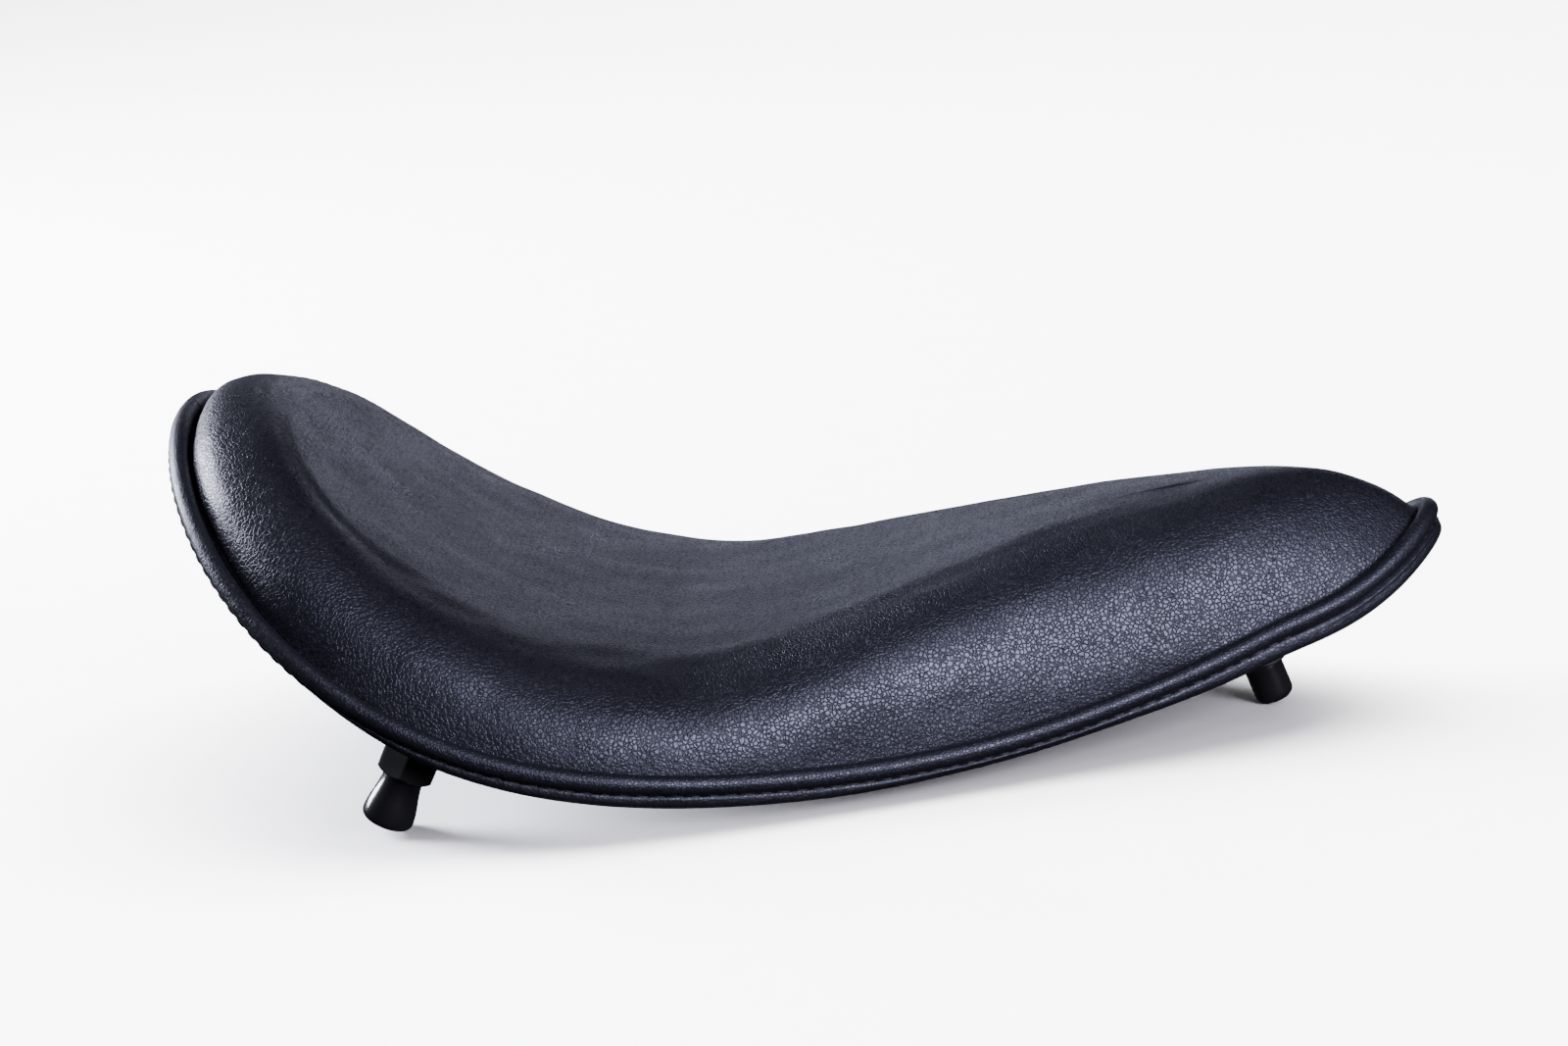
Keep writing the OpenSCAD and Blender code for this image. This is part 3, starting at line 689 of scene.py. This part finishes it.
def standoff(name, where):
    af, hr, top_z, bot = 17.0, 17 / math.sqrt(3), -7.2, -20.0
    k6 = np.radians(60 * np.arange(6))     # flat normals: a corner faces +-Y

    def hexr(limit):
        def fn(th):
            c = np.maximum(np.cos(th[:, None] - k6[None, :]), 1e-6) / (af / 2)
            r = (c ** 46).sum(1) ** (-1 / 46)
            return np.minimum(r, limit)
        return fn
    rows = [(0.3, 7.0), (4.2, 7.0), (4.9, 6.4)]
    rows += thread(4.3, 4.97, 1.5, 6.3, -1.4, 0.16)
    rows += [(5.0, -1.6), (5.0, top_z + 0.02), (8.15, top_z)]
    for t in np.linspace(0, 1, 9):
        rows.append((hexr(8.35 + 1.75 * t), top_z - 0.02 - 0.95 * t))
    for z in np.linspace(top_z - 1.4, bot + 2.2, 6):
        rows.append((hexr(99), z))
    for t in np.linspace(1, 0, 15):
        rows.append((hexr(8.2 + 2.0 * t), bot + 0.03 + 1.75 * t))
    rows += [(8.05, bot), (5.0, bot), (4.75, bot + 0.03), (4.05, bot + 0.7)]
    rows += thread(4.04, 4.12, 1.25, bot + 0.75, bot + 9.8, 0.14)   # shallow, so that the post can slide
    rows += [(3.4, bot + 10.0), (0.4, bot + 10.2)]
    return turned(name, rows, 144, where, sharp=24)


def join(name, obs):
    V, F, o = [], [], 0
    for ob in obs:
        co = np.zeros(len(ob.data.vertices) * 3)
        ob.data.vertices.foreach_get("co", co)
        V.append(co.reshape(-1, 3))
        F += [tuple(v + o for v in p.vertices) for p in ob.data.polygons]
        o += len(ob.data.vertices)
        bpy.data.objects.remove(ob, do_unlink=True)
    return make(name, np.vstack(V), F, sharp=24)


posts = []
for nm, sx, yx, r1, tip in (("rear_left_post", -111.0, 90.0, 8.0, 36.4), ("rear_right_post", -111.0, -90.0, 8.0, 36.4), ("front_post", 140.5, 0.0, 6.2, 32.55)):
    ob = post(nm + "_turned", 6.2, r1, tip, place(sx, yx))
    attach(ob, nm)
    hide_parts(nm)
    posts.append(ob)
rear_hex = join("rear_hexagons", [standoff("a", place(-111.0, 90.0)), standoff("b", place(-111.0, -90.0))])
front_hex = standoff("front_hexagon", place(140.5, 0.0))
for ob, nm in ((rear_hex, "rear_standoffs"), (front_hex, "front_standoff")):
    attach(ob, "root")
    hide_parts(nm)


# ---------------------------------------------------------------- materials
def nodes_of(name):
    m = bpy.data.materials.new(name)
    m.use_nodes = True
    nt = m.node_tree
    b = next(x for x in nt.nodes if x.type == "BSDF_PRINCIPLED")
    return m, nt, b


def add(nt, kind, inputs=None, **props):
    nd = nt.nodes.new(kind)
    for a, v in props.items():
        setattr(nd, a, v)
    for a, v in (inputs or {}).items():
        if isinstance(v, bpy.types.NodeSocket):
            nt.links.new(v, nd.inputs[a])
        else:
            nd.inputs[a].default_value = v
    return nd


def ramp(nt, fac, stops):
    nd = add(nt, "ShaderNodeValToRGB", {"Fac": fac})
    el = nd.color_ramp.elements
    while len(el) < len(stops):
        el.new(0.5)
    for e, (p, c) in zip(el, stops):
        e.position = p
        e.color = (*c, 1) if len(c) == 3 else c
    return nd.outputs["Color"]


def spread(nt, value, a, b, c, dd):
    return add(nt, "ShaderNodeMapRange", {"Value": value, "From Min": a, "From Max": b, "To Min": c, "To Max": dd}).outputs["Result"]


def leather(name, groove_shade_c, high_c, r_lo, r_hi, cell=1.3, depth=0.20, fine=0.03, strength=0.62, spec=0.5):
    m, nt, b = nodes_of(name)
    tc = add(nt, "ShaderNodeTexCoord").outputs["Object"]
    wob = add(nt, "ShaderNodeTexNoise", {"Vector": tc, "Scale": 520.0, "Detail": 3.0, "Roughness": 0.6})
    cen = add(nt, "ShaderNodeVectorMath", {0: wob.outputs["Color"], 1: (0.5, 0.5, 0.5)}, operation="SUBTRACT")
    sc = add(nt, "ShaderNodeVectorMath", {0: cen.outputs[0], "Scale": 0.0016}, operation="SCALE")
    pos = add(nt, "ShaderNodeVectorMath", {0: tc, 1: sc.outputs[0]}, operation="ADD").outputs[0]
    vor = add(nt, "ShaderNodeTexVoronoi", {"Vector": pos, "Scale": 1000.0 / cell, "Randomness": 0.95, "Smoothness": 0.35}, feature="SMOOTH_F1")
    edge = add(nt, "ShaderNodeTexVoronoi", {"Vector": pos, "Scale": 1000.0 / cell, "Randomness": 0.95}, feature="DISTANCE_TO_EDGE")
    groove = add(nt, "ShaderNodeMapRange", {"Value": edge.outputs["Distance"], "From Min": 0.0, "From Max": 0.17, "To Min": 0.0, "To Max": 1.0}, interpolation_type="SMOOTHSTEP").outputs["Result"]
    dome = spread(nt, vor.outputs["Distance"], 0.0, 0.8, 1.0, 0.62)
    hgt = add(nt, "ShaderNodeMath", {0: groove, 1: dome}, operation="MULTIPLY").outputs[0]
    pores = add(nt, "ShaderNodeTexNoise", {"Vector": tc, "Scale": 2600.0, "Detail": 3.0, "Roughness": 0.6}).outputs["Fac"]
    broad = add(nt, "ShaderNodeTexNoise", {"Vector": tc, "Scale": 34.0, "Detail": 3.0, "Roughness": 0.55}).outputs["Fac"]
    clump = add(nt, "ShaderNodeTexNoise", {"Vector": tc, "Scale": 460.0, "Detail": 2.0, "Roughness": 0.6}).outputs["Fac"]
    amount = add(nt, "ShaderNodeMath", {0: spread(nt, broad, 0.3, 0.7, 0.75, 1.1), 1: spread(nt, clump, 0.32, 0.68, 0.75, 1.2)}, operation="MULTIPLY").outputs[0]
    hh = add(nt, "ShaderNodeMath", {0: hgt, 1: amount}, operation="MULTIPLY").outputs[0]
    bm1 = add(nt, "ShaderNodeBump", {"Strength": strength, "Distance": depth * MM, "Height": hh})
    bm2 = add(nt, "ShaderNodeBump", {"Strength": 0.35, "Distance": fine * MM, "Height": pores, "Normal": bm1.outputs[0]})
    nt.links.new(bm2.outputs[0], b.inputs["Normal"])
    # painted shade: the base colour is darkest down in the grain's grooves and lighter on the pebble tops
    col = ramp(nt, hgt, [(0.0, groove_shade_c), (0.65, high_c)])
    nt.links.new(col, b.inputs["Base Color"])
    rgh = add(nt, "ShaderNodeMath", {0: spread(nt, hgt, 0.0, 0.7, r_hi, r_lo), 1: spread(nt, broad, 0.3, 0.7, -0.03, 0.04)}, operation="ADD").outputs[0]
    nt.links.new(rgh, b.inputs["Roughness"])
    b.inputs["Specular IOR Level"].default_value = spec
    b.inputs["Specular Tint"].default_value = (0.74, 0.78, 1.0, 1)
    return m


def metal(name, col, rough, grain=900.0, bump=0.01, metallic=0.0, coat=0.0, coat_rough=0.03, var=0.06):
    m, nt, b = nodes_of(name)
    tc = add(nt, "ShaderNodeTexCoord").outputs["Object"]
    nz = add(nt, "ShaderNodeTexNoise", {"Vector": tc, "Scale": grain, "Detail": 4.0, "Roughness": 0.6}).outputs["Fac"]
    br = add(nt, "ShaderNodeTexNoise", {"Vector": tc, "Scale": 70.0, "Detail": 3.0}).outputs["Fac"]
    bm = add(nt, "ShaderNodeBump", {"Strength": 0.5, "Distance": bump * MM, "Height": nz})
    nt.links.new(bm.outputs[0], b.inputs["Normal"])
    nt.links.new(ramp(nt, br, [(0.3, tuple(c * 0.8 for c in col)), (0.7, tuple(min(1, c * 1.15) for c in col))]), b.inputs["Base Color"])
    nt.links.new(spread(nt, br, 0.3, 0.7, rough - var / 2, rough + var / 2), b.inputs["Roughness"])
    b.inputs["Metallic"].default_value = metallic
    b.inputs["Coat Weight"].default_value = coat
    b.inputs["Coat Roughness"].default_value = coat_rough
    return m


def soft(name, a_c, b_c, scale, bump, rough=0.9, wave=False, sheen=0.3):
    m, nt, b = nodes_of(name)
    tc = add(nt, "ShaderNodeTexCoord").outputs["Object"]
    if wave:
        tex = add(nt, "ShaderNodeTexWave", {"Vector": tc, "Scale": scale, "Distortion": 1.5, "Detail": 2.0}, wave_type="BANDS", bands_direction="DIAGONAL").outputs["Fac"]
    else:
        tex = add(nt, "ShaderNodeTexVoronoi", {"Vector": tc, "Scale": scale}, feature="F1").outputs["Distance"]
    bm = add(nt, "ShaderNodeBump", {"Strength": 0.6, "Distance": bump * MM, "Height": tex})
    nt.links.new(bm.outputs[0], b.inputs["Normal"])
    nt.links.new(ramp(nt, tex, [(0.1, a_c), (0.8, b_c)]), b.inputs["Base Color"])
    b.inputs["Roughness"].default_value = rough
    b.inputs["Sheen Weight"].default_value = sheen
    return m


# the first colour of each leather is the painted shade in its grain grooves, the second the colour of the pebble tops
mats = {
    "cover_leather": leather("cover_leather", (0.0012, 0.0013, 0.002), (0.0125, 0.013, 0.019), 0.29, 0.50),
    "band_leather": leather("band_leather", (0.004, 0.0042, 0.006), (0.011, 0.0115, 0.016), 0.36, 0.52, depth=0.12),
    "piping_leather": leather("piping_leather", (0.004, 0.0042, 0.006), (0.011, 0.0118, 0.017), 0.32, 0.50, cell=1.1, depth=0.14),
    "thread": soft("thread", (0.008, 0.008, 0.010), (0.03, 0.03, 0.034), 1400.0, 0.06, 0.55, True),
    "cotton_cord": soft("cotton_cord", (0.50, 0.48, 0.42), (0.78, 0.76, 0.68), 500.0, 0.3, 0.9, True),
    "firm_foam": soft("firm_foam", (0.08, 0.09, 0.10), (0.20, 0.21, 0.22), 900.0, 0.2),
    "soft_foam": soft("soft_foam", (0.60, 0.54, 0.32), (0.78, 0.72, 0.48), 700.0, 0.3),
    "wadding": soft("wadding", (0.74, 0.74, 0.72), (0.86, 0.86, 0.84), 350.0, 0.5),
    "pan_steel": metal("pan_steel", (0.022, 0.022, 0.024), 0.5, 1500.0, 0.03),
    "zinc": metal("zinc", (0.55, 0.55, 0.56), 0.35, 900.0, 0.01, metallic=1.0),
    "black_zinc": metal("black_zinc", (0.05, 0.05, 0.055), 0.38, 900.0, 0.01, metallic=0.7),
    "black_oxide": metal("black_oxide", (0.018, 0.018, 0.020), 0.42, 1800.0, 0.012),
    "gloss_black": metal("gloss_black", (0.010, 0.010, 0.012), 0.22, 300.0, 0.004, coat=1.0, coat_rough=0.05, var=0.03),
    "rivet": metal("rivet", (0.03, 0.03, 0.032), 0.35, 900.0, 0.01, metallic=0.4),
}
rec_slots = {x["node"]: x["material_slot"] for x in frame["record"]["subparts"]}


def dress(ob, m):
    ob.data.materials.clear()
    ob.data.materials.append(m)


dress(cover, mats["cover_leather"])
dress(wad, mats["wadding"])
dress(band, mats["band_leather"])
dress(piping, mats["piping_leather"])
dress(stitches, mats["thread"])
for ob in posts:
    dress(ob, mats["gloss_black"])
dress(rear_hex, mats["black_oxide"])
dress(front_hex, mats["black_oxide"])
for name, ob in frame["nodes"].items():
    dress(ob, mats[rec_slots[name]])

# ---------------------------------------------------------------- stage, light, camera
floor = make("floor", np.array([[-9, -6, 0], [9, -6, 0], [9, 14, 0], [-9, 14, 0]], float), [(0, 1, 2, 3)], smooth=False)
fm, fn_t, fb = nodes_of("floor_paper")
ftc = add(fn_t, "ShaderNodeTexCoord").outputs["Object"]
fz = add(fn_t, "ShaderNodeTexNoise", {"Vector": ftc, "Scale": 40.0, "Detail": 3.0}).outputs["Fac"]
fn_t.links.new(ramp(fn_t, fz, [(0.3, (0.86, 0.86, 0.865)), (0.7, (0.88, 0.88, 0.88))]), fb.inputs["Base Color"])
fb.inputs["Roughness"].default_value = 0.75
dress(floor, fm)


def light(name, az, el, dist, size, size_y, power, color=(1, 1, 1), target=(0, 0, 0.06)):
    """az is measured from the camera's side (-Y) towards +X."""
    a, e = math.radians(az), math.radians(el)
    t = Vector(target)
    p = t + dist * Vector((math.sin(a) * math.cos(e), -math.cos(a) * math.cos(e), math.sin(e)))
    ld = bpy.data.lights.new(name, "AREA")
    ld.shape = "RECTANGLE"
    ld.size, ld.size_y = size, size_y
    ld.energy = power
    ld.color = color
    ob = bpy.data.objects.new(name, ld)
    ob.location = p
    ob.rotation_euler = (t - p).to_track_quat("-Z", "Y").to_euler()
    bpy.context.scene.collection.objects.link(ob)
    return ob


key = light("key_right", 38, 22, 2.0, 1.0, 0.9, 60, (0.90, 0.87, 1.0))
high = light("key_high", 42, 46, 2.0, 0.7, 0.5, 8, (0.88, 0.87, 1.0))
side = light("left_rear", -116, 24, 1.8, 0.9, 1.0, 120, (0.88, 0.89, 1.0))
rear = light("back", 172, 9, 2.6, 1.6, 0.34, 3.7, (0.78, 0.80, 1.0))
wash = light("floor_wash", 160, 70, 3.6, 5.0, 4.0, 1500)
only_floor = bpy.data.collections.new("floor_only")
only_floor.objects.link(floor)
wash.light_linking.receiver_collection = only_floor
floor.visible_glossy = False
floor.visible_diffuse = False

world = bpy.data.worlds.new("world")
bpy.context.scene.world = world
world.use_nodes = True
bg = next(x for x in world.node_tree.nodes if x.type == "BACKGROUND")
bg.inputs["Color"].default_value = (0.86, 0.92, 1.0, 1)
bg.inputs["Strength"].default_value = 0.022

cam_d = bpy.data.cameras.new("camera")
cam = bpy.data.objects.new("camera", cam_d)
bpy.context.scene.collection.objects.link(cam)
bpy.context.scene.camera = cam
cam_d.sensor_width = 36
cam_d.lens = 92.342
cam_d.clip_start, cam_d.clip_end = 0.05, 60
cam.matrix_world = Matrix(((0.99655169, 0.05152634, 0.0650366, 0.07394845),
                           (0.05088376, 0.23962088, -0.9695322, -1.2341072),
                           (-0.06554057, 0.96949826, 0.23617274, 0.3672406),
                           (0, 0, 0, 1)))
